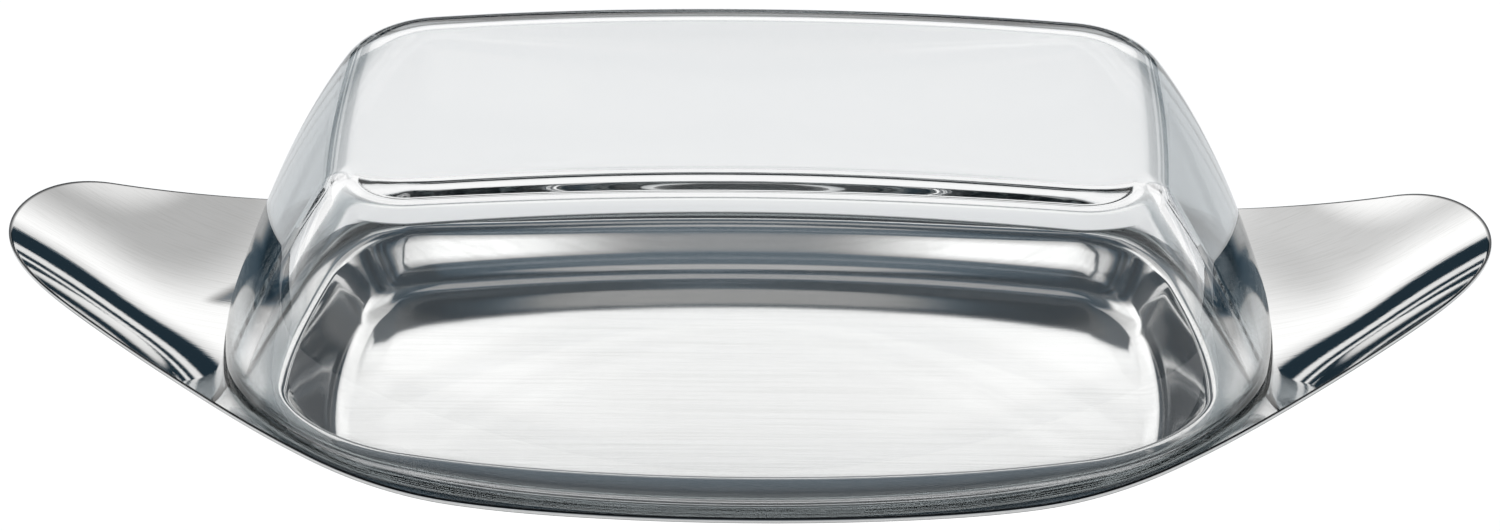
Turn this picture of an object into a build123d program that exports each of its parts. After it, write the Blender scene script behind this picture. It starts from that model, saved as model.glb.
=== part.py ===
"""Butter dish: a pressed stainless-steel base with two dished handles, and a pressed-glass lid.

The base is one sheet. Its flange is a free form, crowned over the middle of the dish and hollow
along the handles, and the well is sunk into it. The lid's rim is trimmed to the same free form.
"""

import math
import os

from build123d import *

# ---- Base: one sheet-steel pressing -------------------------------------------------------------
sheet = 0.9  # thickness, measured straight down
rim_bevel = 0.25  # on both sides of the trimmed edge

# Well, which takes a 100 x 75 mm block of butter. Its length and width are at the lip.
well_length = 142.0
well_width = 88.8
well_depth = 8.4  # at the middle of a long side
well_side_radius = 260.0  # the long sides bow outwards
well_end_radius = 150.0  # and so do the ends
well_corner_radius = 22.0
well_draft = 20.0  # degrees
well_foot_radius = 5.5  # inside, where the wall meets the floor
lip_radius = 2.6  # on the upper face, where the flange turns down into the well

# Flange around the well.
flange_side_width = 11.2  # from the well's lip out to the lid's edge
flange_end_width = 12.9
rim_margin = 1.3  # steel outside the lid's edge, at the middle of a long side
rim_side_radius = 300.0  # the long sides bow outwards

# Handles, where the flange rises endways into two scoops.
handle_reach = 32.1  # past the lid's edge
handle_tip_radius = 28.0
handle_flank_angle = 31.0  # degrees, between a flank and the dish's length
handle_shoulder_radius = 60.0  # where a flank meets a long side

# Free form along the middle of the dish: its height at the ends of each stretch, over the centre's.
crown_run = 21.0  # from the well's ends back to where the crown begins to flatten
crown_end_rise = -0.1
well_end_rise = -0.45
lid_end_rise = 1.05
handle_middle_rise = 6.4
handle_tip_rise = 16.65

# Free form across the dish: radius of its section there.
crown_radius = 342.0  # at the centre, curving down to both sides
crown_end_radius = 440.0
well_end_section_radius = 760.0  # from here on, curving up to both sides
lid_end_section_radius = 160.0
handle_middle_section_radius = 66.0
handle_tip_section_radius = 55.0

# ---- Lid: one glass pressing --------------------------------------------------------------------
lid_height = 53.0  # top of the glass over the table
lid_wall = 4.0
lid_roof = 4.8
lid_crown_radius = 640.0  # along the roof
lid_shoulder_radius = 9.0  # outside, between the walls and the roof

# Section of the walls, each of which is part of a circle.
lid_end_rim_lean = 15.0  # degrees, by which the end walls lean in at the rim
lid_end_roof_lean = 39.5  # and at the height of the roof
lid_side_rim_lean = 8.0  # and the same for the long walls
lid_side_roof_lean = 46.2

# Plan of the walls, at the rim and at the height of the roof.
lid_rim_side_radius = 220.0
lid_roof_side_radius = 1500.0
lid_rim_end_radius = 150.0
lid_roof_end_radius = 700.0
lid_rim_corner_radius = 38.0
lid_roof_corner_radius = 11.0

# Fits.
lid_rim_bevel = 0.6  # on both sides of the rim
seat_gap = 0.2  # between the glass and the steel

# ---- Sizes that follow --------------------------------------------------------------------------
overshoot = 6.0  # by which rough shapes run past what trims them
form_steps = 30  # cross-sections that shape the free form
lid_steps = 5  # outlines that shape the lid's walls
well_half_length = well_length / 2
well_half_width = well_width / 2
lid_half_length = well_half_length + flange_end_width
lid_half_width = well_half_width + flange_side_width
base_half_length = lid_half_length + handle_reach
base_half_width = lid_half_width + rim_margin
form_half_length = base_half_length + overshoot
form_half_width = base_half_width + overshoot
lip_height = sheet + well_depth


def bend(radius, half_width):
    """Height of a parabola over its middle, from the radius there."""
    return half_width**2 / (2 * radius)


crown_height = lip_height + bend(crown_radius, well_half_width)
rim_height = crown_height - bend(crown_radius, base_half_width)
handle_middle = (lid_half_length + base_half_length) / 2


def form_sections():
    """Cross-sections of the free form from end to end: x, middle height and edge height."""
    tip_slope = (handle_tip_rise - handle_middle_rise) / (base_half_length - handle_middle)
    crown_end = well_half_length - crown_run
    half = [
        (crown_end / 2, 0, -crown_radius),
        (crown_end, crown_end_rise, -crown_end_radius),
        (well_half_length, well_end_rise, well_end_section_radius),
        (lid_half_length, lid_end_rise, lid_end_section_radius),
        (handle_middle, handle_middle_rise, handle_middle_section_radius),
        (base_half_length, handle_tip_rise, handle_tip_section_radius),
        (form_half_length, handle_tip_rise + tip_slope * overshoot, handle_tip_section_radius),
    ]
    other_half = [(-x, rise, radius) for x, rise, radius in reversed(half)]
    stations = []
    for x, rise, radius in other_half + [(0, 0, -crown_radius)] + half:
        middle = crown_height + rise
        stations.append((x, middle, middle + bend(radius, form_half_width)))
    through_stations = Spline(*stations)
    return [through_stations @ (step / form_steps) for step in range(form_steps + 1)]


def below_free_form(drop):
    """Solid that fills everything under the free form, lowered by drop."""
    with BuildPart() as below:
        for x, middle, edge in form_sections():
            with BuildSketch(Plane.YZ.offset(x)):
                with BuildLine():
                    across = Bezier(
                        (-form_half_width, edge - drop),
                        (0, 2 * middle - edge - drop),
                        (form_half_width, edge - drop),
                    )
                    Polyline(
                        across @ 1,
                        (form_half_width, -overshoot),
                        (-form_half_width, -overshoot),
                        across @ 0,
                    )
                make_face()
        loft()
    return below.part


def barrel(plane, half_length, half_width, side_radius, end_radius, corner_radius):
    """Rounded rectangle whose sides bow outwards, centred on the plane's origin."""
    with BuildSketch(plane) as outline:
        with Locations((0, half_width - side_radius)):
            Circle(side_radius)
        with Locations((0, side_radius - half_width)):
            Circle(side_radius, mode=Mode.INTERSECT)
        with Locations((half_length - end_radius, 0)):
            Circle(end_radius, mode=Mode.INTERSECT)
        with Locations((end_radius - half_length, 0)):
            Circle(end_radius, mode=Mode.INTERSECT)
        fillet(outline.vertices(), corner_radius)
    return outline.sketch


def well_recess(growth):
    """Plug that fills the well, with its walls and floor moved outwards by growth."""
    floor = sheet - growth
    lip = Plane.XY.offset(lip_height)
    wall_growth = growth / math.cos(math.radians(well_draft))
    outline = barrel(
        lip,
        well_half_length + wall_growth,
        well_half_width + wall_growth,
        well_side_radius + wall_growth,
        well_end_radius + wall_growth,
        well_corner_radius + wall_growth,
    )
    with BuildPart() as recess:
        extrude(outline, amount=floor - lip_height, taper=well_draft)
        extrude(outline, amount=well_end_rise + overshoot, taper=-well_draft)
        foot = recess.edges().group_by(Axis.Z)[0]
        fillet(foot, well_foot_radius + growth)
    return recess.part


def sheet_face(depth):
    """Solid under one face of the sheet, this far below its upper face, with the well sunk in."""
    with BuildPart() as under:
        add(below_free_form(depth))
        add(well_recess(depth), mode=Mode.SUBTRACT)
        lip = under.edges(Select.LAST).filter_by(lambda edge: edge.center().Z > lip_height / 2)
        fillet(lip, lip_radius - depth)
    return under.part


def base_outline():
    """Plan of the trimmed pressing: bowed long sides, straight flanks and round tips."""
    flank_angle = math.radians(handle_flank_angle)
    tip_centre = base_half_length - handle_tip_radius
    apex = tip_centre + handle_tip_radius / math.sin(flank_angle)
    apex_side = apex * math.tan(flank_angle)
    with BuildSketch() as outline:
        with Locations((0, base_half_width - rim_side_radius)):
            Circle(rim_side_radius)
        with Locations((0, rim_side_radius - base_half_width)):
            Circle(rim_side_radius, mode=Mode.INTERSECT)
        Polygon((apex, 0), (0, apex_side), (-apex, 0), (0, -apex_side), mode=Mode.INTERSECT)
        corners = outline.vertices()
        fillet(corners.filter_by(lambda corner: abs(corner.Y) > sheet), handle_shoulder_radius)
        tips = outline.vertices().filter_by(lambda corner: abs(corner.Y) < sheet)
        fillet(tips, handle_tip_radius)
    return outline.sketch


def lid_inset(rim_lean, roof_lean, height, inwards):
    """How far a face of the lid's wall has leant in at this height, from the rim's outline."""
    rim_sine = math.sin(math.radians(rim_lean))
    roof_sine = math.sin(math.radians(roof_lean))
    wall_radius = (lid_height - rim_height) / (roof_sine - rim_sine)
    over_centre = height - rim_height + wall_radius * rim_sine
    face_radius = wall_radius - inwards
    return math.sqrt(wall_radius**2 * (1 - rim_sine**2)) - math.sqrt(face_radius**2 - over_centre**2)


def between(rim_radius, roof_radius, share):
    """Radius whose curvature lies this share of the way from the rim's to the roof's."""
    return 1 / ((1 - share) / rim_radius + share / roof_radius)


def lid_outline(height, inwards):
    """Plan of the lid's walls at this height, this far inwards from their outer face."""
    end_inset = lid_inset(lid_end_rim_lean, lid_end_roof_lean, height, inwards)
    side_inset = lid_inset(lid_side_rim_lean, lid_side_roof_lean, height, inwards)
    share = (height - rim_height) / (lid_height - rim_height)
    corner = lid_rim_corner_radius + share * (lid_roof_corner_radius - lid_rim_corner_radius)
    return barrel(
        Plane.XY.offset(height),
        lid_half_length - end_inset,
        lid_half_width - side_inset,
        between(lid_rim_side_radius, lid_roof_side_radius, share) - inwards,
        between(lid_rim_end_radius, lid_roof_end_radius, share) - inwards,
        corner - inwards,
    )


def below_roof(depth):
    """Solid that fills everything under one face of the lid's roof, this far below its top."""
    with BuildPart() as below:
        with BuildSketch(Plane.XZ):
            with Locations((0, lid_height - lid_crown_radius)):
                Circle(lid_crown_radius - depth)
        extrude(amount=lid_half_width, both=True)
    return below.part


def lid_shell(inwards, depth):
    """Solid inside one face of the glass: this far inwards at the walls and down at the roof."""
    loft_height = lid_height + overshoot - rim_height
    levels = [rim_height + loft_height * step / lid_steps for step in range(lid_steps + 1)]
    sections = [lid_outline(level, inwards) for level in levels]
    with BuildPart() as shell:
        loft(sections)
        add(below_roof(depth), mode=Mode.INTERSECT)
        high = shell.edges(Select.LAST).filter_by(lambda edge: edge.center().Z > lid_height / 2)
        fillet(high, lid_shoulder_radius - inwards)
    return shell.part


# ---- Steel base ---------------------------------------------------------------------------------
with BuildPart() as steel_base:
    add(sheet_face(0))
    add(sheet_face(sheet), mode=Mode.SUBTRACT)
    extrude(base_outline(), amount=lid_height, mode=Mode.INTERSECT)
    trimmed = steel_base.edges(Select.LAST) - steel_base.edges().filter_by(Axis.Z)
    chamfer(trimmed, rim_bevel)

# ---- Glass lid ----------------------------------------------------------------------------------
with BuildPart() as glass_lid:
    add(lid_shell(0, 0))
    add(lid_shell(lid_wall, lid_roof), mode=Mode.SUBTRACT)
    add(below_free_form(-seat_gap), mode=Mode.SUBTRACT)
    chamfer(glass_lid.edges(Select.LAST), lid_rim_bevel)

os.makedirs("parts", exist_ok=True)
steel_base.part.label = "steel_base"
export_step(steel_base.part, "parts/steel_base.step")
glass_lid.part.label = "glass_lid"
export_step(glass_lid.part, "parts/glass_lid.step")
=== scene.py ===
import logging
import math
from dataclasses import dataclass, field
from enum import Enum

import bmesh
import bpy
import numpy as np
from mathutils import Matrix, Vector


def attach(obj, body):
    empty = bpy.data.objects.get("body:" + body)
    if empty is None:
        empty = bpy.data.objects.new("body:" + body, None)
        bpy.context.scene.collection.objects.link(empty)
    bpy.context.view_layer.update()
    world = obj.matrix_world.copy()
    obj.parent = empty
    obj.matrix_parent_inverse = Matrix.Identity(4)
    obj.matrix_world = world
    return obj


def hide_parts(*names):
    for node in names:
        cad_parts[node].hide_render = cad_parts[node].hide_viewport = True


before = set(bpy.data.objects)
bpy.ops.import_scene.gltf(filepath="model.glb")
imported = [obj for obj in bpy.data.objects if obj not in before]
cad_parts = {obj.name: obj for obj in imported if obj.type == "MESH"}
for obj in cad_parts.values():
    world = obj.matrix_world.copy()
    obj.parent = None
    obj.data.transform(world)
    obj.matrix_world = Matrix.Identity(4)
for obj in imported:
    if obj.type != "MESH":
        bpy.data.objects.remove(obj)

log = logging.getLogger("butter_dish")
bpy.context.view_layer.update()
MM = 0.001 * 0.9996  # metres to a millimetre, less a hair to stay inside the solids' box
MERGE = 1e-5  # millimetres, below which two points of a skin are one
TOUCHING = 1e-12  # millimetres, below which two points of an outline are one

Colour = tuple[float, float, float, float]
Span = tuple[float, float]  # where a soft edge starts, and where it is complete
Sizes = float | np.ndarray  # one size, or one for each point of a ring


class Body(Enum):
    """Bodies of the frame that pieces ride on."""

    BASE = "base"
    LID = "lid"


class Slot(Enum):
    """Names of the two materials, steel and glass."""

    STEEL = "steel"
    GLASS = "glass"


# ---- Shader maths -------------------------------------------------------------------------------
class Wire:
    """An output socket whose operators add Math nodes."""

    def __init__(self, tree: "Tree", socket: bpy.types.NodeSocket) -> None:
        """Keeps the socket and the tree it belongs to."""
        self.tree = tree
        self.socket = socket

    def maths(self, operation: str, *values: "Wire | float") -> "Wire":
        """Adds one Math node whose first value is this wire.

        Args:
            operation: The node's operation.
            values: Its other values.

        Returns:
            The node's result.
        """
        inputs = dict(enumerate((self, *values)))
        return self.tree.add("ShaderNodeMath", {"operation": operation}, inputs)

    def __add__(self, other: "Wire | float") -> "Wire":
        """This plus other."""
        return self.maths("ADD", other)

    __radd__ = __add__

    def __sub__(self, other: "Wire | float") -> "Wire":
        """This minus other."""
        return self.maths("SUBTRACT", other)

    def __rsub__(self, other: float) -> "Wire":
        """Other minus this."""
        return self.maths("MULTIPLY", -1.0) + other

    def __mul__(self, other: "Wire | float") -> "Wire":
        """This times other."""
        return self.maths("MULTIPLY", other)

    __rmul__ = __mul__

    def __abs__(self) -> "Wire":
        """This without its sign."""
        return self.maths("ABSOLUTE")

    def ramp(self, span: Span) -> "Wire":
        """Rises smoothly from 0 to 1.

        Args:
            span: Values at which the rise starts and is complete; the second may be the smaller.

        Returns:
            The rise.
        """
        start, end = span
        falls = end < start
        inputs = {"Value": self, "From Min": min(span), "From Max": max(span),
                  "To Min": float(falls), "To Max": float(not falls)}
        return self.tree.add("ShaderNodeMapRange", {"interpolation_type": "SMOOTHSTEP"}, inputs)


class Tree:
    """A node tree that is filled from Python."""

    def __init__(self, owner: "bpy.types.Material | bpy.types.World") -> None:
        """Empties the owner's node tree.

        Args:
            owner: Material or world whose tree this is.
        """
        owner.use_nodes = True
        self.tree = owner.node_tree
        self.tree.nodes.clear()

    def node(self, kind: str, settings: dict, inputs: dict) -> bpy.types.Node:
        """Adds a node.

        Args:
            kind: The node's type.
            settings: Its own settings, which are set first.
            inputs: Values or wires by the name or place of the socket.

        Returns:
            The node.
        """
        made = self.tree.nodes.new(kind)
        for name, value in settings.items():
            setattr(made, name, value)
        for name, value in inputs.items():
            if isinstance(value, Wire):
                self.tree.links.new(value.socket, made.inputs[name])
            else:
                made.inputs[name].default_value = value
        return made

    def add(self, kind: str, settings: dict, inputs: dict, output: "str | int" = 0) -> Wire:
        """Adds a node as node() does, and returns a wire from one of its outputs."""
        return Wire(self, self.node(kind, settings, inputs).outputs[output])

    def wires(self, kind: str, inputs: dict, outputs: "str | tuple[str, ...]") -> list[Wire]:
        """Adds a node without settings, and returns a wire from each of the outputs named."""
        made = self.node(kind, {}, inputs)
        return [Wire(self, made.outputs[name]) for name in outputs]

    def mix(self, share: Wire, first: "Wire | Colour", second: "Wire | Colour") -> Wire:
        """Mixes two colours.

        Args:
            share: How much of the second there is.
            first: Colour where share is 0.
            second: Colour where share is 1.

        Returns:
            The mixed colour.
        """
        factor, near, far, colour_result = 0, 6, 7, 2
        inputs = {factor: share, near: first, far: second}
        return self.add("ShaderNodeMix", {"data_type": "RGBA"}, inputs, colour_result)


def grey(level: float) -> Colour:
    """Neutral colour of that level."""
    return (level, level, level, 1.0)


# ---- Shapes -------------------------------------------------------------------------------------
class FreeForm:
    """The curved surface that the flange, the handles and the lid's rim share."""

    samples = 4000  # points along the spline

    def __init__(self, half: list[tuple[float, float, float]], crown: tuple[float, float],
                 half_width: float) -> None:
        """Runs a spline through the cross-sections.

        Args:
            half: Place along the dish, rise over the centre and radius of each cross-section.
            crown: Height and radius of the cross-section at the centre.
            half_width: Distance to each side at which the spline runs.
        """
        self.half_width = half_width
        height, radius = crown
        rows = [(-x, rise, bend) for x, rise, bend in reversed(half)] + [(0.0, 0.0, radius)] + half
        points = np.array([
            (x, height + rise, height + rise + half_width**2 / (2 * bend)) for x, rise, bend in rows
        ])
        self.along, self.middle, self.edge = self._spline(points).T

    def _spline(self, points: np.ndarray) -> np.ndarray:
        """Smooth curve through the points, by the distances between them.

        Args:
            points: One row for each point.

        Returns:
            Many rows along the curve.
        """
        steps = np.linalg.norm(np.diff(points, axis=0), axis=1)
        knots = np.concatenate([[0.0], np.cumsum(steps)])
        rates = np.diff(points, axis=0) / steps[:, None]
        count = len(points)
        matrix, target = np.zeros((count, count)), np.zeros_like(points)
        for row in range(1, count - 1):
            before, after = steps[row - 1], steps[row]
            matrix[row, row - 1:row + 2] = 1 / before, 2 / before + 2 / after, 1 / after
            target[row] = 3 * (rates[row - 1] / before + rates[row] / after)
        matrix[0, 0] = matrix[-1, -1] = 1
        target[0] = self._end_rate(knots[:4], points[:4])
        target[-1] = self._end_rate(knots[:-5:-1], points[:-5:-1])
        tangents = np.linalg.solve(matrix, target)
        at = np.linspace(0, knots[-1], self.samples)
        span = np.clip(np.searchsorted(knots, at, side="right") - 1, 0, count - 2)
        step = steps[span][:, None]
        share = (at - knots[span])[:, None] / step
        first, second = points[span], points[span + 1]
        return (
            (2 * share**3 - 3 * share**2 + 1) * first
            + (share**3 - 2 * share**2 + share) * step * tangents[span]
            + (3 * share**2 - 2 * share**3) * second
            + (share**3 - share**2) * step * tangents[span + 1]
        )

    @staticmethod
    def _end_rate(knots: np.ndarray, points: np.ndarray) -> np.ndarray:
        """Rate of change at the first of four points, of the cubic through them."""
        cubics = [np.poly1d(np.polyfit(knots, values, 3)) for values in points.T]
        return np.array([np.polyder(cubic)(knots[0]) for cubic in cubics])

    def height(self, x: np.ndarray, y: np.ndarray) -> np.ndarray:
        """Height of the surface over points of the plan.

        Args:
            x: Their places along the dish.
            y: And across it.

        Returns:
            A height for each.
        """
        middle = np.interp(x, self.along, self.middle)
        edge = np.interp(x, self.along, self.edge)
        return middle + (edge - middle) * (y / self.half_width) ** 2


@dataclass(frozen=True)
class RingGrid:
    """How many points a ring has on each arc of a quarter of a barrel outline."""

    end: int = 30
    corner: int = 40
    side: int = 44

    def shares(self) -> tuple[np.ndarray, np.ndarray, np.ndarray]:
        """Place of each point of the ring.

        Returns:
            The place in its quarter, in points from the middle of the end, and the signs of x
            and y.
        """
        quarter = self.end + self.corner + self.side
        steps = np.arange(quarter)
        place = np.concatenate([steps, quarter - steps, steps, quarter - steps])
        return place, np.repeat([1, -1, -1, 1], quarter), np.repeat([1, 1, -1, -1], quarter)


@dataclass(frozen=True)
class Barrel:
    """Rounded rectangle whose four sides bow outwards."""

    half_length: Sizes
    half_width: Sizes
    side_radius: Sizes
    end_radius: Sizes
    corner_radius: Sizes

    def grown(self, out: Sizes) -> "Barrel":
        """The outline that runs this far outside."""
        return Barrel(self.half_length + out, self.half_width + out, self.side_radius + out,
                      self.end_radius + out, self.corner_radius + out)

    def ring(self, grid: RingGrid) -> tuple[np.ndarray, np.ndarray]:
        """Points of the outline.

        Args:
            grid: How the points are spread.

        Returns:
            Points and outward normals, one row for each.
        """
        place, sign_x, sign_y = grid.shares()
        # The corner's centre lies where it touches the end's arc and the side's arc.
        end_x, side_y = self.half_length - self.end_radius, self.half_width - self.side_radius
        to_end = self.end_radius - self.corner_radius
        to_side = self.side_radius - self.corner_radius
        apart = np.hypot(end_x, side_y)
        along = (to_end**2 - to_side**2 + apart**2) / (2 * apart)
        off = np.sqrt(to_end**2 - along**2)
        corner_x = end_x + (along * -end_x - off * side_y) / apart
        corner_y = (along * side_y + off * -end_x) / apart
        first = np.arctan2(corner_y, corner_x - end_x)
        second = np.arctan2(corner_y - side_y, corner_x)
        on_end = place < grid.end
        on_side = place > grid.end + grid.corner
        turn = np.where(
            on_end,
            first * place / grid.end,
            np.where(
                on_side,
                second + (math.pi / 2 - second) * (place - grid.end - grid.corner) / grid.side,
                first + (second - first) * (place - grid.end) / grid.corner,
            ),
        )
        cosine, sine = np.cos(turn), np.sin(turn)
        radius = np.where(on_end, self.end_radius,
                          np.where(on_side, self.side_radius, self.corner_radius))
        x = np.where(on_end, end_x, np.where(on_side, 0.0, corner_x)) + radius * cosine
        y = np.where(on_end, 0.0, np.where(on_side, side_y, corner_y)) + radius * sine
        return (
            np.stack([x * sign_x, y * sign_y], axis=1),
            np.stack([cosine * sign_x, sine * sign_y], axis=1),
        )


def set_at(plan: np.ndarray, height: Sizes) -> np.ndarray:
    """Points of a plan at that height."""
    return np.column_stack([plan, np.broadcast_to(height, len(plan))])


def linked(name: str, mesh: bpy.types.Mesh) -> bpy.types.Object:
    """Puts a mesh in the scene.

    Args:
        name: The object's name.
        mesh: Its mesh.

    Returns:
        The object.
    """
    piece = bpy.data.objects.new(name, mesh)
    bpy.context.scene.collection.objects.link(piece)
    return piece


def skin(name: str, rings: list[np.ndarray], marks: list[float]) -> bpy.types.Object:
    """Closed piece whose skin runs through rings of points, from one pole to the other.

    Args:
        name: The piece's name.
        rings: Points of each ring in millimetres; the first and last are flat and get closed.
        marks: Value of the attribute "edge" on each ring.

    Returns:
        The piece.
    """
    table = np.stack(rings)
    rows, columns = table.shape[:2]
    shape = bmesh.new()
    edge_layer = shape.verts.layers.float.new("edge")
    half = 0.5  # of the grid's side, which is 1, so that a place on it is a share of the rings
    bmesh.ops.create_grid(shape, x_segments=columns, y_segments=rows - 1, size=half)
    for vertex in shape.verts:
        column = round((vertex.co.x + half) * columns) % columns
        row = round((vertex.co.y + half) * (rows - 1))
        vertex.co = table[row, column]
        vertex[edge_layer] = marks[row]
    bmesh.ops.remove_doubles(shape, verts=shape.verts[:], dist=MERGE)
    rims = [edge for edge in shape.edges if edge.is_boundary]
    caps = bmesh.ops.holes_fill(shape, edges=rims, sides=0)["faces"]
    bmesh.ops.poke(shape, faces=caps)
    bmesh.ops.recalc_face_normals(shape, faces=shape.faces[:])
    bmesh.ops.scale(shape, vec=(MM, MM, MM), verts=shape.verts[:])
    for face in shape.faces:
        face.smooth = True
    mesh = bpy.data.meshes.new(name)
    shape.to_mesh(mesh)
    shape.free()
    return linked(name, mesh)


# ---- Finishes -----------------------------------------------------------------------------------
@dataclass(frozen=True)
class SatinSteel:
    """Sheet steel, brushed along the dish and a little duller in the well, in metres."""

    name: str = "satin_steel"
    colour: Colour = (0.72, 0.72, 0.715, 1.0)
    worn_colour: Colour = (0.64, 0.64, 0.63, 1.0)  # in the deeper strokes
    painted_edge_reflection_colour: Colour = (0.02, 0.022, 0.024, 1.0)  # painted dark reflection on the trimmed edge
    stroke_rate: tuple[float, float, float] = (25.0, 2600.0, 400.0)  # to a metre, along each axis
    stroke_detail: float = 3.0
    stroke_breakup: float = 0.6
    stroke_height: float = 0.0002
    stroke_strength: float = 0.015
    worn: Span = (0.40, 0.80)
    worn_share: float = 0.7
    roughness: float = 0.015
    stroke_roughness: float = 0.03
    well_roughness: float = 0.04
    well_end: Span = (0.074, 0.070)
    well_side: Span = (0.047, 0.044)
    well_lip: Span = (0.0105, 0.0085)

    def material(self) -> bpy.types.Material:
        """Builds the finish's nodes.

        Returns:
            The material.
        """
        made = bpy.data.materials.new(self.name)
        tree = Tree(made)
        place = tree.add("ShaderNodeTexCoord", {}, {}, "Object")
        strokes = tree.add("ShaderNodeMapping", {}, {"Vector": place, "Scale": self.stroke_rate})
        brushing = tree.add("ShaderNodeTexNoise", {"noise_dimensions": "3D"}, {
            "Vector": strokes,
            "Scale": 1.0,
            "Detail": self.stroke_detail,
            "Roughness": self.stroke_breakup,
        })
        along, across, up = tree.wires("ShaderNodeSeparateXYZ", {"Vector": place}, "XYZ")
        well = abs(along).ramp(self.well_end) * abs(across).ramp(self.well_side)
        well = well * up.ramp(self.well_lip)
        dulled = brushing * self.stroke_roughness + well * self.well_roughness + self.roughness
        bump = tree.add("ShaderNodeBump", {}, {
            "Height": brushing, "Strength": self.stroke_strength, "Distance": self.stroke_height,
        })
        # Painted dark reflection along the trimmed edge, from the attribute edge.
        painted_edge = tree.add("ShaderNodeAttribute", {"attribute_name": "edge"}, {}, "Fac")
        sheet = tree.mix(brushing.ramp(self.worn) * self.worn_share, self.colour, self.worn_colour)
        surface = tree.add("ShaderNodeBsdfPrincipled", {}, {
            "Base Color": tree.mix(painted_edge, sheet, self.painted_edge_reflection_colour),
            "Metallic": 1.0,
            "Roughness": dulled,
            "Normal": bump,
        })
        tree.node("ShaderNodeOutputMaterial", {}, {"Surface": surface})
        return made


@dataclass(frozen=True)
class ClearGlass:
    """Pressed glass, with painted dark reflection at a slant and painted shade on its rim, in
    metres.
    """

    name: str = "clear_glass"
    index: float = 1.5
    colour: Colour = (0.99, 0.993, 0.993, 1.0)
    painted_slant_reflection_colour: Colour = (0.24, 0.28, 0.30, 1.0)  # painted dark reflection where a face is seen at a slant
    # painted shade along the rim, where the glass sits on the steel
    painted_rim_shade_colour: Colour = (0.07, 0.085, 0.09, 1.0)
    slant: Span = (0.56, 0.74)
    slant_blend: float = 0.5
    wave_rate: float = 30.0
    wave_detail: float = 1.0
    wave_breakup: float = 0.4
    wave_height: float = 0.001
    wave_strength: float = 0.024

    def material(self) -> bpy.types.Material:
        """Builds the finish's nodes.

        Returns:
            The material.
        """
        made = bpy.data.materials.new(self.name)
        tree = Tree(made)
        place = tree.add("ShaderNodeTexCoord", {}, {}, "Object")
        waves = tree.add("ShaderNodeTexNoise", {"noise_dimensions": "3D"}, {
            "Vector": place,
            "Scale": self.wave_rate,
            "Detail": self.wave_detail,
            "Roughness": self.wave_breakup,
        })
        bump = tree.add("ShaderNodeBump", {}, {
            "Height": waves, "Strength": self.wave_strength, "Distance": self.wave_height,
        })
        # Painted dark reflection where a face is seen at a slant.
        facing = tree.add("ShaderNodeLayerWeight", {}, {"Blend": self.slant_blend}, "Facing")
        # Painted shade along the rim, where the glass sits on the steel.
        rim = tree.add("ShaderNodeAttribute", {"attribute_name": "edge"}, {}, "Fac")
        wall = tree.mix(facing.ramp(self.slant), self.colour, self.painted_slant_reflection_colour)
        surface = tree.add("ShaderNodeBsdfPrincipled", {}, {
            "Base Color": tree.mix(rim, wall, self.painted_rim_shade_colour),
            "Roughness": 0.0,
            "IOR": self.index,
            "Transmission Weight": 1.0,
            "Normal": bump,
        })
        tree.node("ShaderNodeOutputMaterial", {}, {"Surface": surface})
        return made


# ---- The dish -----------------------------------------------------------------------------------
@dataclass
class Flange:
    """Free form that the steel and the glass share. Sizes are in millimetres."""

    sheet: float = 0.9
    well_depth: float = 8.4
    crown_radius: float = 342.0
    crown_run: float = 21.0  # from the well's ends back to where the crown begins to flatten
    overshoot: float = 6.0  # by which the form runs past the sheet
    well: Barrel = Barrel(half_length=71.0, half_width=44.4, side_radius=260.0,
                          end_radius=150.0, corner_radius=22.0)
    lid_half_length: float = 83.9
    lid_half_width: float = 55.6
    base_half_length: float = 116.0
    base_half_width: float = 56.9
    handle_middle: float = 99.95
    rises: tuple[float, ...] = (0.0, -0.1, -0.45, 1.05, 6.4, 16.65)  # over the centre, outwards
    radii: tuple[float, ...] = (-342.0, -440.0, 760.0, 160.0, 66.0, 55.0)  # negative: crowned
    form: FreeForm = field(init=False)
    lip_height: float = field(init=False)
    rim_height: float = field(init=False)  # of the plane that the lid's rim starts from

    def __post_init__(self) -> None:
        """Works out the heights and the free form."""
        self.lip_height = self.sheet + self.well_depth
        crown_height = self.lip_height + self.well.half_width**2 / (2 * self.crown_radius)
        self.rim_height = crown_height - self.base_half_width**2 / (2 * self.crown_radius)
        crown_end = self.well.half_length - self.crown_run
        places = (crown_end / 2, crown_end, self.well.half_length, self.lid_half_length,
                  self.handle_middle, self.base_half_length)
        half = list(zip(places, self.rises, self.radii))
        slope = (self.rises[-1] - self.rises[-2]) / (self.base_half_length - self.handle_middle)
        half.append((self.base_half_length + self.overshoot,
                     self.rises[-1] + slope * self.overshoot, self.radii[-1]))
        self.form = FreeForm(half, (crown_height, -self.crown_radius),
                             self.base_half_width + self.overshoot)


@dataclass(frozen=True)
class SheetSteps:
    """How many rings shape each part of one face of the sheet."""

    foot: int
    wall: int
    lip: int
    flange: int


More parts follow.
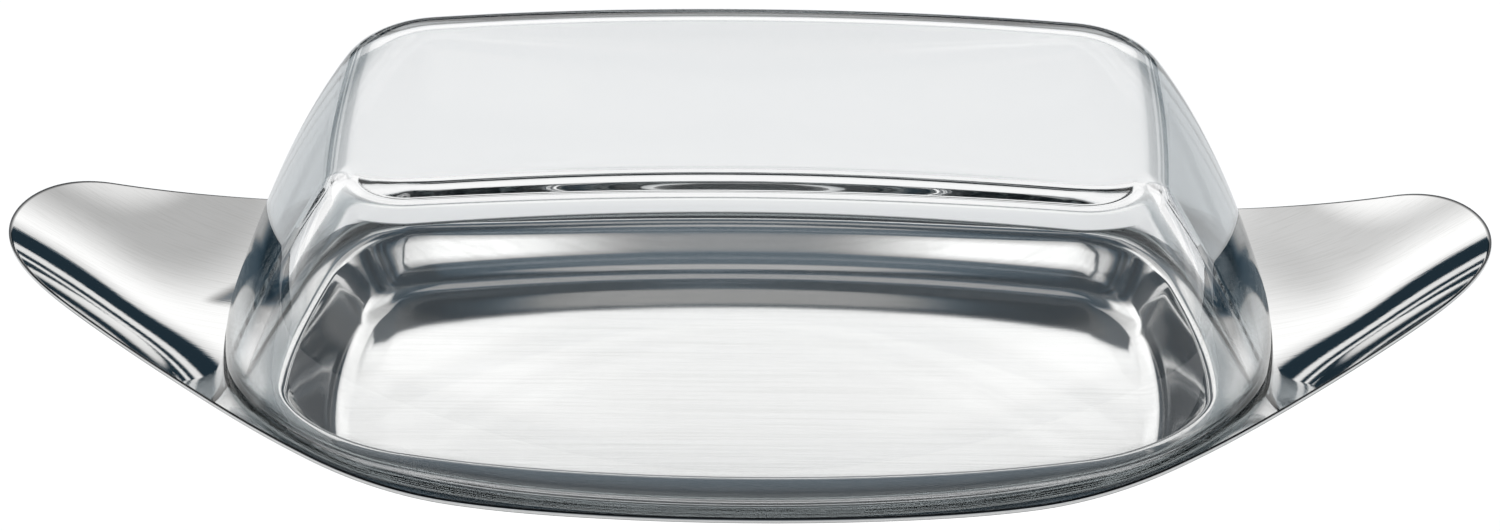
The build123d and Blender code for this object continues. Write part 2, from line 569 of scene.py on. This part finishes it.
@dataclass(frozen=True)
class SteelBase:
    """The pressing: well, flange and handles. Sizes are in millimetres."""

    flange: Flange
    finish: SatinSteel
    draft: float = 20.0  # degrees, on the long sides
    end_draft: float = 12.0  # degrees more on the ends
    end_bias: float = 1.5  # how late on the way round a corner the ends' draft comes in
    foot_radius: float = 5.5
    lip_radius: float = 2.6
    rim_radius: float = 0.35
    tip_radius: float = 28.0
    flank_angle: float = 31.0
    shoulder_radius: float = 60.0
    side_radius: float = 300.0
    grid: RingGrid = RingGrid()
    trim_samples: int = 1500  # points on each arc and flank of the trimmed outline
    floor_shares: tuple[float, ...] = (0.35, 0.7, 0.9, 0.97)
    upper: SheetSteps = SheetSteps(foot=8, wall=4, lip=8, flange=44)
    lower: SheetSteps = SheetSteps(foot=6, wall=4, lip=6, flange=30)
    last_strip: float = 0.993  # share of the flange's width at which the dark edge starts
    edge_mark: float = 0.9  # of the painted dark reflection at the upper face's last ring
    painted_edge_marks: tuple[float, ...] = (1.0, 1.0, 0.4, 0.0)  # painted dark reflection from there to the middle of the edge

    def _trim(self) -> tuple[np.ndarray, np.ndarray]:
        """Outline of the trimmed sheet as a closed run of points.

        Returns:
            Points and outward normals.
        """
        lean = math.radians(90 - self.flank_angle)
        normal = np.array([math.cos(lean), math.sin(lean)])
        tip = np.array([self.flange.base_half_length - self.tip_radius, 0.0])
        side = np.array([0.0, self.flange.base_half_width - self.side_radius])
        reach = normal @ tip + self.tip_radius - self.shoulder_radius
        off = reach - normal @ side
        foot = side + normal * off
        along = math.sqrt((self.side_radius - self.shoulder_radius) ** 2 - off**2)
        shoulder = foot + along * np.array([-normal[1], normal[0]])
        turn = math.atan2(*(shoulder - side)[::-1])
        pieces = []
        for centre, radius, start, end in (
            (tip, self.tip_radius, 0.0, lean),
            (shoulder, self.shoulder_radius, lean, turn),
            (side, self.side_radius, turn, math.pi / 2),
        ):
            angle = np.linspace(start, end, self.trim_samples)
            outward = np.stack([np.cos(angle), np.sin(angle)], axis=1)
            pieces.append(np.concatenate([centre + radius * outward, outward], axis=1))
        flank = np.linspace(pieces[0][-1], pieces[1][0], self.trim_samples)
        quarter = np.concatenate([pieces[0], flank, pieces[1], pieces[2]])
        mirrored = quarter[::-1] * (-1, 1, -1, 1)
        half = np.concatenate([quarter, mirrored])
        whole = np.concatenate([half, half * (-1, -1, -1, -1)])
        return whole[:, :2], whole[:, 2:]

    def _reach(self, points: np.ndarray, ways: np.ndarray) -> tuple[np.ndarray, np.ndarray]:
        """Where lines from the points meet the trimmed outline.

        Args:
            points: Starts of the lines.
            ways: Their directions.

        Returns:
            Points on the outline and its outward normals there.
        """
        outline, normals = self._trim()
        found, outward = [], []
        for point, way in zip(points, ways):
            offset = outline - point
            across = way[0] * offset[:, 1] - way[1] * offset[:, 0]
            ahead = offset @ way > 0
            crossing = np.nonzero((across[:-1] <= 0) & (across[1:] > 0) & ahead[:-1])[0]
            if len(crossing):
                at = crossing[0]
                share = -across[at] / max(across[at + 1] - across[at], TOUCHING)
            else:  # the line runs through the place where the run of points closes
                at, share = len(outline) - 2, 0.0
            found.append(outline[at] + share * (outline[at + 1] - outline[at]))
            outward.append(normals[at] + share * (normals[at + 1] - normals[at]))
        return np.array(found), np.array(outward)

    def _slant(self) -> np.ndarray:
        """Lean of the well's wall at each point of a ring, the most at the ends."""
        _, normals = self.flange.well.ring(self.grid)
        return np.radians(self.draft + self.end_draft * np.abs(normals[:, 0]) ** self.end_bias)

    def _wall(self, depth: float, height: Sizes, inwards: float = 0.0) -> np.ndarray:
        """How far outside the lip's outline a face of the well's wall is at this height."""
        slant = self._slant()
        return (depth - inwards) / np.cos(slant) + (height - self.flange.lip_height) * np.tan(slant)

    def _well_ring(self, out: np.ndarray, height: Sizes) -> np.ndarray:
        """Ring this far outside the lip's outline, at this height."""
        return set_at(self.flange.well.grown(out).ring(self.grid)[0], height)

    def _floor(self, depth: float, steps: int) -> tuple[list[np.ndarray], np.ndarray]:
        """Rings of the well's floor and foot.

        Args:
            depth: How far the face is below the upper one.
            steps: Steps round the foot.

        Returns:
            The rings, and the heights at which the wall starts.
        """
        slant = self._slant()
        radius = self.foot_radius + depth
        centre_height = self.flange.sheet - depth + radius
        centre = self._wall(depth, centre_height, radius)
        plan = self.flange.well.grown(centre).ring(self.grid)[0]
        rings = [set_at(plan * share, self.flange.sheet - depth) for share in self.floor_shares]
        for turn in np.linspace(-math.pi / 2, -slant, steps + 1):
            out = centre + radius * np.cos(turn)
            rings.append(self._well_ring(out, centre_height + radius * np.sin(turn)))
        return rings, centre_height - radius * np.sin(slant)

    def _lip(self, depth: float, steps: int) -> tuple[list[np.ndarray], np.ndarray]:
        """Rings round the lip, where the well's wall turns into the flange.

        Args:
            depth: How far the face is below the upper one.
            steps: Steps round the lip.

        Returns:
            The rings, and the heights at which the wall ends.
        """
        slant, form, rounds, step = self._slant(), self.flange.form, 6, 0.01
        start, normals = self.flange.well.ring(self.grid)
        out = self._wall(depth, self.flange.lip_height)
        for _ in range(rounds):  # closes in on where the wall's face meets the flange's
            meeting = start + normals * np.reshape(out, (-1, 1))
            height = form.height(*meeting.T) - depth
            out = self._wall(depth, height)
        before, after = (form.height(*(meeting + way * normals).T) for way in (-step, step))
        lean = np.arctan((after - before) / (2 * step))
        radius = self.lip_radius - depth
        tangent = radius / np.tan((math.pi / 2 + slant + lean) / 2)
        centre = out + tangent * np.cos(lean) + radius * np.sin(lean)
        centre_height = height + tangent * np.sin(lean) - radius * np.cos(lean)
        rings = []
        for share in np.linspace(0, 1, steps + 1):
            turn = (1 - share) * (math.pi - slant) + share * (math.pi / 2 + lean)
            out = centre + radius * np.cos(turn)
            rings.append(self._well_ring(out, centre_height + radius * np.sin(turn)))
        return rings, centre_height + radius * np.sin(slant)

    def _face(self, depth: float,
              steps: SheetSteps) -> tuple[list[np.ndarray], np.ndarray, np.ndarray]:
        """Rings of one face of the sheet, from the middle of the floor out to the rim.

        Args:
            depth: How far the face is below the upper one.
            steps: How many rings shape it.

        Returns:
            The rings, and the trimmed outline's points and outward normals beside the last.
        """
        floor, wall_start = self._floor(depth, steps.foot)
        lip, wall_end = self._lip(depth, steps.lip)
        wall = []
        for share in np.linspace(0, 1, steps.wall + 1)[1:-1]:
            level = wall_start + share * (wall_end - wall_start)
            wall.append(self._well_ring(self._wall(depth, level), level))
        inner = lip[-1][:, :2]
        _, normals = self.flange.well.ring(self.grid)
        trimmed, outward = self._reach(inner, normals)
        outer = trimmed - outward * self.rim_radius
        flange = []
        for share in np.append(np.linspace(0, 1, steps.flange)[1:-1], (self.last_strip, 1.0)):
            plan = inner + (outer - inner) * share
            flange.append(set_at(plan, self.flange.form.height(*plan.T) - depth))
        return floor + wall + lip + flange, trimmed, outward

    def rings(self) -> tuple[list[np.ndarray], list[float]]:
        """Rings of the whole pressing, from the floor of the well round the rim to the underside.

        Returns:
            The rings, and how much of the painted dark reflection on the edge each has.
        """
        sheet = self.flange.sheet
        upper, trimmed, outward = self._face(0.0, self.upper)
        lower, _, _ = self._face(sheet, self.lower)
        over, under = [], []
        for turn in np.linspace(math.pi / 2, 0, len(self.painted_edge_marks) + 1)[1:]:
            plan = trimmed - outward * self.rim_radius * (1 - math.cos(turn))
            top, drop = self.flange.form.height(*plan.T), self.rim_radius * (1 - math.sin(turn))
            over.append(set_at(plan, top - drop))
            under.append(set_at(plan, top - sheet + drop))
        # Painted dark reflection on the upper face's last ring and round the edge.
        marks = [0.0] * (len(upper) - 1) + [self.edge_mark]
        marks += [*self.painted_edge_marks, *self.painted_edge_marks[::-1]] + [0.0] * len(lower)
        return upper + over + under[::-1] + lower[::-1], marks

    def build(self) -> bpy.types.Object:
        """Makes the piece, dresses it and sets it in the frame.

        Returns:
            The piece.
        """
        piece = skin("steel_pressing", *self.rings())
        piece.data.materials.append(self.finish.material())
        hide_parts("steel_base")
        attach(piece, Body.BASE.value)
        return piece


@dataclass(frozen=True)
class WallCurve:
    """Section of one wall of the lid, part of a circle, from the rim to the roof's height."""

    rim_lean: float  # degrees inwards, at the rim
    roof_lean: float  # and at the height of the roof

    def inset(self, rise: float, level: np.ndarray, inwards: float) -> np.ndarray:
        """How far a face of the wall has leant in at these heights.

        Args:
            rise: Height of the roof over the rim.
            level: Heights over the rim.
            inwards: Depth of the face in the glass.

        Returns:
            Distances inwards from the rim's outline.
        """
        rim_sine = math.sin(math.radians(self.rim_lean))
        roof_sine = math.sin(math.radians(self.roof_lean))
        radius = rise / (roof_sine - rim_sine)
        start = radius * math.sqrt(1 - rim_sine**2)
        return start - np.sqrt((radius - inwards) ** 2 - (level + radius * rim_sine) ** 2)


@dataclass(frozen=True)
class RoofCurve:
    """Section along the roof, crowned over its middle."""

    height: float = 53.0
    radius: float = 640.0

    def face(self, x: np.ndarray, depth: float) -> tuple[np.ndarray, np.ndarray]:
        """Height and normal of the face at this depth in the glass.

        Args:
            x: Places along the dish.
            depth: How far the face is below the roof's top.

        Returns:
            Heights, and upward normals one row for each.
        """
        sine = x / (self.radius - depth)
        cosine = np.sqrt(1 - sine**2)
        height = self.height - self.radius + (self.radius - depth) * cosine
        return height, np.stack([sine, 0 * x, cosine], axis=1)


@dataclass(frozen=True)
class GlassSteps:
    """How many rings shape each part of one face of the glass."""

    roof: int
    shoulder: int
    wall: int


@dataclass(frozen=True)
class GlassLid:
    """The glass cover. Sizes are in millimetres."""

    flange: Flange
    finish: ClearGlass
    wall: float = 4.0
    roof: float = 4.8
    top: RoofCurve = RoofCurve()
    ends: WallCurve = WallCurve(rim_lean=15.0, roof_lean=39.5)
    sides: WallCurve = WallCurve(rim_lean=8.0, roof_lean=46.2)
    rim_outline: Barrel = Barrel(half_length=83.9, half_width=55.6, side_radius=220.0,
                                 end_radius=150.0, corner_radius=38.0)
    roof_side_radius: float = 1500.0
    roof_end_radius: float = 700.0
    roof_corner_radius: float = 11.0
    shoulder_radius: float = 9.0
    rim_radius: float = 0.9
    seat_gap: float = 0.2
    grid: RingGrid = RingGrid(end=30, corner=44, side=40)
    outer: GlassSteps = GlassSteps(roof=24, shoulder=14, wall=30)
    inner: GlassSteps = GlassSteps(roof=24, shoulder=12, wall=26)
    rim_steps: int = 5
    roof_start: float = 0.02  # share of the roof's width that its first ring has
    fading_mark: float = 0.35  # of the rim's painted shade one ring up the wall

    def _outline(self, level: np.ndarray, inwards: float) -> tuple[np.ndarray, np.ndarray]:
        """Plan of a face of the wall.

        Args:
            level: Heights of its points.
            inwards: Depth of the face in the glass.

        Returns:
            Points and outward normals, one row for each.
        """
        over_rim, rim = level - self.flange.rim_height, self.rim_outline
        rise = self.top.height - self.flange.rim_height
        ends = self.ends.inset(rise, over_rim, inwards)
        sides = self.sides.inset(rise, over_rim, inwards)
        share = over_rim / rise
        return Barrel(
            rim.half_length - ends,
            rim.half_width - sides,
            1 / ((1 - share) / rim.side_radius + share / self.roof_side_radius) - inwards,
            1 / ((1 - share) / rim.end_radius + share / self.roof_end_radius) - inwards,
            rim.corner_radius + share * (self.roof_corner_radius - rim.corner_radius) - inwards,
        ).ring(self.grid)

    def _shoulder(self, inwards: float, depth: float,
                  steps: int) -> tuple[list[np.ndarray], np.ndarray]:
        """Rings round the shoulder, as a ball that touches the roof and the wall leaves them.

        Args:
            inwards: Depth of the wall's face in the glass.
            depth: Depth of the roof's face.
            steps: Steps from the roof to the wall.

        Returns:
            The rings, and the heights of the last.
        """
        radius, rounds, step, pace = self.shoulder_radius - inwards, 40, 0.05, 0.7
        level = np.full(len(self.grid.shares()[0]), self.top.height - radius)
        for _ in range(rounds):  # closes in on where the ball touches both
            plan, way = self._outline(level, inwards)
            climb = (self._outline(level + step, inwards)[0] - plan) / step
            normal = np.column_stack([way, -(way * climb).sum(axis=1)])
            normal /= np.linalg.norm(normal, axis=1)[:, None]
            ball = np.column_stack([plan, level]) - radius * normal
            target, up = self.top.face(ball[:, 0], depth + radius)
            level = level + pace * (target - ball[:, 2])
        angle = np.arccos((up * normal).sum(axis=1))[:, None]
        rings = []
        for share in np.linspace(0, 1, steps + 1):
            way = np.sin((1 - share) * angle) * up + np.sin(share * angle) * normal
            rings.append(ball + radius * (way / np.sin(angle)))
        return rings, level

    def _wall(self, lift: float, inwards: float, share: float = 0.0, to: Sizes = 0.0) -> np.ndarray:
        """Ring on a face of the wall that follows the rim.

        Args:
            lift: Height over the rim's plane, at the bottom.
            inwards: Depth in the glass.
            share: How far up towards the level to, from 0 to 1.
            to: Heights that the ring would reach there.

        Returns:
            The ring.
        """
        guess, rounds = 1.0, 8
        level = np.full(len(self.grid.shares()[0]), self.flange.rim_height + guess)
        for _ in range(rounds):  # closes in on where the wall stands over the flange
            plan, _ = self._outline(level, inwards)
            bottom = self.flange.form.height(*plan.T) + self.seat_gap + lift
            level = bottom + share * (to - bottom)
        return set_at(plan, level)

    def _face(self, inwards: float, depth: float, steps: GlassSteps) -> list[np.ndarray]:
        """Rings of one face of the glass, from the middle of the roof down to the rim.

        Args:
            inwards: Depth of the face in the glass at the wall.
            depth: And at the roof.
            steps: How many rings shape it.

        Returns:
            The rings.
        """
        shoulder, level = self._shoulder(inwards, depth, steps.shoulder)
        roof = []
        for share in np.linspace(self.roof_start, 1, steps.roof, endpoint=False):
            plan = shoulder[0][:, :2] * share
            roof.append(set_at(plan, self.top.face(plan[:, 0], depth)[0]))
        wall = [self._wall(self.rim_radius, inwards, share, level)
                for share in np.linspace(1, 0, steps.wall + 1)[1:]]
        return roof + shoulder + wall

    def rings(self) -> tuple[list[np.ndarray], list[float]]:
        """Rings of the whole lid, from the roof down round the rim to the roof's underside.

        Returns:
            The rings, and how much of the rim's painted shade each has.
        """
        outer = self._face(0.0, 0.0, self.outer)
        inner = self._face(self.wall, self.roof, self.inner)
        down, up = [], []
        for turn in np.linspace(0, math.pi / 2, self.rim_steps + 1)[1:]:
            lift = self.rim_radius * (1 - math.sin(turn))
            inwards = self.rim_radius * (1 - math.cos(turn))
            down.append(self._wall(lift, inwards))
            up.append(self._wall(lift, self.wall - inwards))
        rim = down + up[::-1]
        # Painted shade on the rim, fading one ring up each wall.
        marks = [0.0] * (len(outer) - 2) + [self.fading_mark, 1.0] + [1.0] * len(rim)
        marks += [1.0, self.fading_mark] + [0.0] * (len(inner) - 2)
        return outer + rim + inner[::-1], marks

    def build(self) -> bpy.types.Object:
        """Makes the piece, dresses it and sets it in the frame.

        Returns:
            The piece.
        """
        piece = skin("glass_cover", *self.rings())
        piece.data.materials.append(self.finish.material())
        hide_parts("glass_lid")
        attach(piece, Body.LID.value)
        return piece


# ---- Studio -------------------------------------------------------------------------------------
@dataclass(frozen=True)
class Room:
    """Light by direction: a wide window behind the dish, dim sides and low panels before it.

    Angles are in degrees. Turn is 0 straight behind the dish and 180 straight before it, the
    same on both sides, and rise is 0 level with the table and 90 overhead.
    """

    # The window, which is brightest low in its middle.
    window_level: float = 0.58
    window_glow: float = 0.76
    window_glow_rise: Span = (45.0, 24.5)
    window_glow_arch: float = 0.25  # by which the glow ends lower for each degree of turn
    sill_rise: Span = (14.0, 20.5)
    sill_level: float = 0.62
    window_bottom: Span = (14.2, 16.0)
    window_top: Span = (52.0, 44.0)
    wings: Span = (39.0, 50.0)  # turn from which the window is brighter
    wings_level: float = 0.45
    left: Span = (0.1, -0.1)  # over which right turns into left
    left_wing_level: float = 0.1
    left_turn: Span = (10.0, 28.0)
    left_level: float = 0.2

    # A blind in the middle of the window, in an upper and a narrower lower part.
    blind_rise: Span = (39.5, 42.0)
    blind_turn: Span = (14.0, 8.0)
    low_blind_rise: Span = (27.9, 29.4)
    low_blind_turn: Span = (7.0, 5.0)
    blind_shade: float = 0.8

    # Two thin bright strips under the window, and what is round it.
    strips: tuple[tuple[Span, Span], ...] = (((4.4, 5.0), (8.0, 7.4)), ((0.8, 1.2), (2.8, 2.3)))
    strips_level: float = 0.95
    wall_level: float = 0.05
    high_wall: Span = (50.0, 56.0)
    high_wall_level: float = 0.04

    # The sides, with faint upright slats.
    side_level: float = 0.04
    slat_level: float = 0.10
    slat_rate: float = 0.9  # radians of the slats' wave to a degree of turn
    slat_wave: Span = (0.2, 0.9)
    slat_rise: Span = (55.0, 25.0)

    # The panels before the dish, with a gap between them, and the wall behind them.
    panels_turn: Span = (100.0, 118.0)
    panels_gap: Span = (175.0, 164.5)
    gap_level: float = 0.12
    panels_bottom: Span = (2.0, 8.0)
    panels_top: Span = (25.0, 14.5)
    panels_level: float = 1.6
    front_level: float = 0.04
    front_glow: float = 0.16
    front_glow_turn: Span = (148.0, 170.0)

    # The ceiling, which is lit over the back and over the front.
    ceiling_bottom: Span = (57.0, 63.0)
    ceiling_top: Span = (84.0, 78.0)
    ceiling_level: float = 0.35
    ceiling_back: Span = (35.0, 20.0)
    ceiling_front: Span = (155.0, 165.0)

    # Where the back, the sides and the front meet, and the tint of what is dark.
    back_meets_side: Span = (78.0, 60.0)
    side_meets_front: Span = (98.0, 112.0)
    dark: Span = (0.02, 0.45)
    dark_colour: Colour = (0.36, 0.70, 1.0, 1.0)

    # The backdrop is white straight through the glass: before any bounce, or within two faces.
    before_bounce: float = 0.5
    within_faces: float = 2.5

    def _window(self, turn: Wire, rise: Wire, right: Wire) -> Wire:
        """Level of the window, with its blind.

        Args:
            turn: Turn of the direction.
            rise: Its rise.
            right: How far it points to the right, from -1 to 1.

        Returns:
            The level.
        """
        glow = (rise + turn * self.window_glow_arch).ramp(self.window_glow_rise)
        window = glow * self.window_glow + self.window_level
        window = window * (rise.ramp(self.sill_rise) * (1 - self.sill_level) + self.sill_level)
        left = right.ramp(self.left)
        window = window + turn.ramp(self.wings) * (left * self.left_wing_level + self.wings_level)
        window = window + turn.ramp(self.left_turn) * left * self.left_level
        blind = rise.ramp(self.blind_rise) * turn.ramp(self.blind_turn)
        low_blind = rise.ramp(self.low_blind_rise) * turn.ramp(self.low_blind_turn)
        shade = blind.maths("MAXIMUM", low_blind) * self.blind_shade
        return window * rise.ramp(self.window_bottom) * rise.ramp(self.window_top) * (1 - shade)

    def _back(self, turn: Wire, rise: Wire, right: Wire) -> Wire:
        """Level behind the dish.

        Args:
            turn: Turn of the direction.
            rise: Its rise.
            right: How far it points to the right, from -1 to 1.

        Returns:
            The level.
        """
        strip, thin_strip = (rise.ramp(bottom) * rise.ramp(top) for bottom, top in self.strips)
        back = self._window(turn, rise, right) + (strip + thin_strip) * self.strips_level
        return back + rise.ramp(self.high_wall) * self.high_wall_level + self.wall_level

    def _side(self, turn: Wire, rise: Wire) -> Wire:
        """Level beside the dish."""
        slats = (turn * self.slat_rate).maths("SINE").ramp(self.slat_wave)
        return slats * rise.ramp(self.slat_rise) * self.slat_level + self.side_level

    def _front(self, turn: Wire, rise: Wire) -> Wire:
        """Level before the dish.

        Args:
            turn: Turn of the direction.
            rise: Its rise.

        Returns:
            The level.
        """
        gap = turn.ramp(self.panels_gap) * (1 - self.gap_level) + self.gap_level
        panels = turn.ramp(self.panels_turn) * gap
        panels = panels * rise.ramp(self.panels_bottom) * rise.ramp(self.panels_top)
        front = panels * self.panels_level + turn.ramp(self.front_glow_turn) * self.front_glow
        return front + self.front_level

    def _ceiling(self, turn: Wire, rise: Wire) -> Wire:
        """Level that the ceiling adds."""
        ceiling = rise.ramp(self.ceiling_bottom) * rise.ramp(self.ceiling_top) * self.ceiling_level
        return ceiling * (turn.ramp(self.ceiling_back) + turn.ramp(self.ceiling_front))

    def build(self) -> None:
        """Makes the room the scene's world."""
        world = bpy.data.worlds.new("room")
        bpy.context.scene.world = world
        tree = Tree(world)
        way = tree.add("ShaderNodeTexCoord", {}, {}, "Generated")
        right, ahead, up = tree.wires("ShaderNodeSeparateXYZ", {"Vector": way}, "XYZ")
        degrees = 180 / math.pi
        rise = up.maths("ARCSINE") * degrees
        turn = abs(right.maths("ARCTAN2", ahead) * degrees)
        side, front = self._side(turn, rise), self._front(turn, rise)
        level = side + turn.ramp(self.back_meets_side) * (self._back(turn, rise, right) - side)
        level = level + turn.ramp(self.side_meets_front) * (front - level)
        level = level + self._ceiling(turn, rise)
        camera, through, bounces, faces = tree.wires(
            "ShaderNodeLightPath", {},
            ("Is Camera Ray", "Is Transmission Ray", "Glossy Depth", "Transmission Depth"))
        unbounced = bounces.maths("LESS_THAN", self.before_bounce)
        direct = unbounced.maths("MAXIMUM", faces.maths("LESS_THAN", self.within_faces))
        clear = camera.maths("MAXIMUM", through * direct)
        strength = level + clear * (1 - level)
        colour = tree.mix(strength.ramp(self.dark), self.dark_colour, grey(1.0))
        glow = tree.add("ShaderNodeBackground", {}, {"Color": colour, "Strength": strength})
        tree.node("ShaderNodeOutputWorld", {}, {"Surface": glow})


@dataclass(frozen=True)
class Studio:
    """Room, floor and camera. Sizes are in metres."""

    room: Room = Room()
    floor_radius: float = 0.6
    floor_sides: int = 64
    floor_level: float = 0.8  # of its colour
    floor_glow: float = 0.59
    floor_camera_glow: float = 0.22  # more for the camera, to which the floor is plain white
    camera_place: tuple[float, float, float] = (0.0224, -0.9884, 0.4991)
    camera_target: tuple[float, float, float] = (0.0, 0.0, 0.0169)
    lens: float = 167.9  # millimetres
    shift_x: float = 0.0007
    shift_y: float = 0.021
    faces_crossed: int = 32
    glossy_bounces: int = 48
    all_bounces: int = 64

    def _paper(self) -> bpy.types.Material:
        """Builds the floor's nodes, which keep the dish's shadow.

        Returns:
            The material.
        """
        paper = bpy.data.materials.new("white_paper")
        tree = Tree(paper)
        matt = tree.add("ShaderNodeBsdfDiffuse", {}, {"Color": grey(self.floor_level)})
        camera = tree.add("ShaderNodeLightPath", {}, {}, "Is Camera Ray")
        strength = camera * self.floor_camera_glow + self.floor_glow
        glow = tree.add("ShaderNodeEmission", {}, {"Color": grey(1.0), "Strength": strength})
        lit = tree.add("ShaderNodeAddShader", {}, {0: matt, 1: glow})
        tree.node("ShaderNodeOutputMaterial", {}, {"Surface": lit})
        return paper

    def floor(self) -> None:
        """Lays the floor."""
        shape = bmesh.new()
        bmesh.ops.create_circle(shape, cap_ends=True, segments=self.floor_sides,
                                radius=self.floor_radius)
        mesh = bpy.data.meshes.new("floor")
        shape.to_mesh(mesh)
        shape.free()
        mesh.materials.append(self._paper())
        linked("floor", mesh)

    def camera(self) -> None:
        """Sets the camera."""
        lens = bpy.data.cameras.new("camera")
        lens.lens = self.lens
        lens.shift_x, lens.shift_y = self.shift_x, self.shift_y
        holder = bpy.data.objects.new("camera", lens)
        bpy.context.scene.collection.objects.link(holder)
        holder.location = self.camera_place
        aim = Vector(self.camera_target) - Vector(self.camera_place)
        holder.rotation_euler = aim.to_track_quat("-Z", "Y").to_euler()
        bpy.context.scene.camera = holder

    def build(self) -> None:
        """Sets up the whole studio."""
        self.floor()
        self.room.build()
        self.camera()
        scene = bpy.context.scene
        scene.view_settings.view_transform = "Standard"
        scene.cycles.transmission_bounces = self.faces_crossed
        scene.cycles.glossy_bounces = self.glossy_bounces
        scene.cycles.max_bounces = self.all_bounces


def main() -> None:
    """Builds the dish and its studio."""
    logging.basicConfig(level=logging.INFO, format="%(name)s: %(message)s")
    flange = Flange()
    for part in (SteelBase(flange, SatinSteel()), GlassLid(flange, ClearGlass())):
        piece = part.build()
        log.info("%s: %d faces", piece.name, len(piece.data.polygons))
    Studio().build()


if __name__ == "__main__":
    main()
